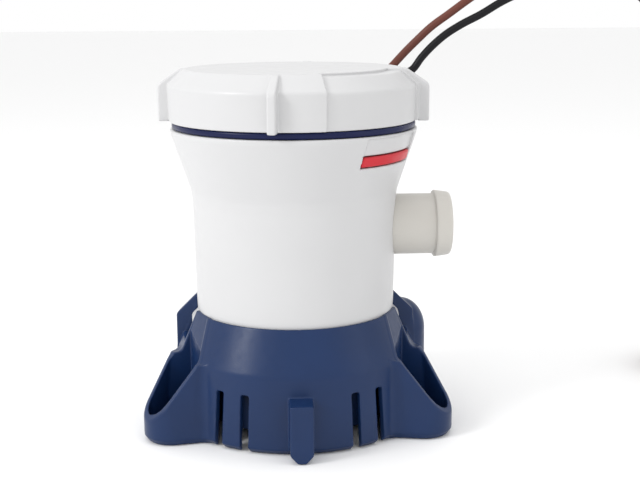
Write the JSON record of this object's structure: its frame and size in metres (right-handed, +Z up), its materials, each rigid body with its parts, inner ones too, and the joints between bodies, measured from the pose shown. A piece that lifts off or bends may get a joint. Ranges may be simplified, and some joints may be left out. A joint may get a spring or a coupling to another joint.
{
  "type": "cartridge bilge pump",
  "caption": "Submersible bilge pump: slotted strainer base with mounting ears, white housing with side hose outlet, twist-in motor cartridge with ribbed cap, red lock tab and two wire leads.",
  "frame": {"origin": "on the pump's vertical axis, at the level of the strainer base's underside", "axes": "+Z up along the motor shaft, +X out of the hose outlet, -Y to the base's front tab"},
  "size_m": [0.2114, 0.1015, 0.1435],
  "materials": {
    "navy_plastic": "moulded plastic with a fine satin grain",
    "white_plastic": "moulded white plastic, satin",
    "cap_plastic": "moulded bright white plastic, satin",
    "outlet_plastic": "moulded warm grey plastic, satin",
    "red_plastic": "moulded red plastic, semi-gloss",
    "impeller_plastic": "moulded dark plastic, satin",
    "grey_plastic": "moulded grey plastic, satin",
    "seal_rubber": "dark blue rubber, smooth and glossy",
    "black_rubber": "black rubber, matt",
    "steel": "plain steel, dull",
    "spring_steel": "stainless steel, ground",
    "ferrite": "dark grey ferrite, matt",
    "bronze": "oiled sintered bronze, matt",
    "carbon": "carbon, matt",
    "copper": "copper, satin",
    "black_insulation": "black wire insulation, satin",
    "brown_insulation": "brown wire insulation, satin",
    "tinned_copper": "tinned copper strands, bright"
  },
  "bodies": {
    "pump_body": {"strainer_base": "navy_plastic", "pump_housing": "white_plastic", "outlet_nozzle": "outlet_plastic", "lock_tab_spring": "spring_steel"},
    "lock_tab_slide": {"lock_tab": "red_plastic"},
    "cartridge": {"twist_cap": "cap_plastic", "cap_seal_ring": "seal_rubber", "motor_housing": "grey_plastic", "shaft_seal": "black_rubber", "lower_bush": "bronze", "field_ring": "steel", "magnet_left": "ferrite", "magnet_right": "ferrite", "end_bell": "grey_plastic", "upper_bush": "bronze", "brush_front": "carbon", "brush_arm_front": "copper", "brush_rear": "carbon", "brush_arm_rear": "copper", "lead_gland": "black_rubber", "lead_black": "black_insulation", "lead_black_coil": "black_insulation", "lead_black_tip": "tinned_copper", "lead_brown": "brown_insulation", "lead_brown_coil": "brown_insulation", "lead_brown_tip": "tinned_copper"},
    "rotor": {"motor_shaft": "spring_steel", "armature_core": "steel", "armature_winding": "copper", "commutator": "copper", "impeller": "impeller_plastic"}
  },
  "joints": [
    {"name": "lock_tab_press", "type": "slide", "parent": "pump_body", "child": "lock_tab_slide", "axis": [-0.788, 0.6157, 0], "range_m": [0, 0.002], "stiffness_N_per_m": 600, "deforming": ["lock_tab_spring"]},
    {"name": "cartridge_twist", "type": "hinge", "parent": "pump_body", "child": "cartridge", "pos_m": [0, 0, 0.09], "axis": [0, 0, 1], "range_deg": [0, 30]},
    {"name": "rotor_spin", "type": "hinge", "parent": "cartridge", "child": "rotor", "pos_m": [0, 0, 0.06], "axis": [0, 0, 1], "continuous": true}
  ]
}
